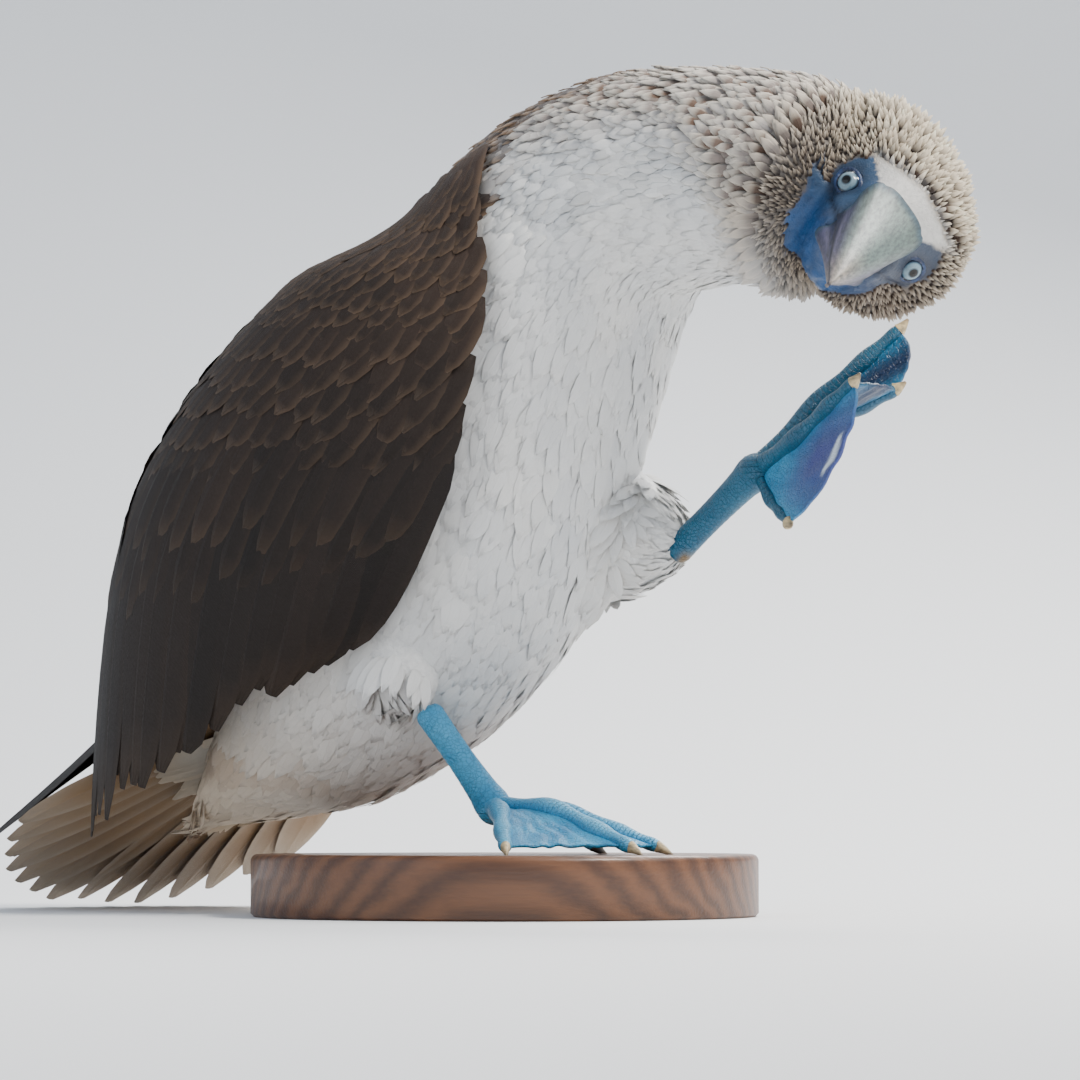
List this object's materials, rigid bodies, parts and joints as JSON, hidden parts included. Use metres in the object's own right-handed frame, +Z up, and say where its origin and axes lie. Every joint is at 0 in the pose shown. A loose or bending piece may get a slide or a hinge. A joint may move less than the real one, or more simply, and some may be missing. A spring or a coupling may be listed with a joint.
{
  "type": "seabird figure",
  "caption": "Life-size still seabird with blue webbed feet, standing on one leg on a round wooden base and scratching its head with the raised foot.",
  "frame": {"origin": "centre of the base's flat underside", "axes": "+Z up, +Y away from the viewer of the picture, +X to that viewer's right; the bird faces +X and is turned 36 degrees towards -Y"},
  "size_m": [0.4415, 0.4513, 0.3574],
  "materials": {
    "white_plumage": "soft white feathers",
    "head_plumage": "narrow pale feathers streaked with brown",
    "brown_plumage": "dark brown wing feathers",
    "tail_plumage": "brown tail feathers with pale shafts",
    "blue_skin": "satin blue scaly skin",
    "bill": "satin grey-green horn",
    "claw": "satin tan horn",
    "eye": "glossy pale yellow iris with a dark pupil",
    "base_wood": "oiled dark wood"
  },
  "bodies": {
    "root": {"torso": "white_plumage", "neck": "white_plumage", "head": "head_plumage", "bill_upper": "bill", "bill_lower": "bill", "eye_left": "eye", "eye_right": "eye", "wing_left": "brown_plumage", "wing_right": "brown_plumage", "tail": "tail_plumage", "thigh_left": "white_plumage", "thigh_right": "white_plumage", "shank_left": "blue_skin", "shank_right": "blue_skin", "foot_left": "blue_skin", "foot_right": "blue_skin", "claw_left_outer": "claw", "claw_left_middle": "claw", "claw_left_inner": "claw", "claw_left_hind": "claw", "claw_right_outer": "claw", "claw_right_middle": "claw", "claw_right_inner": "claw", "claw_right_hind": "claw", "stand_base": "base_wood"}
  },
  "joints": []
}
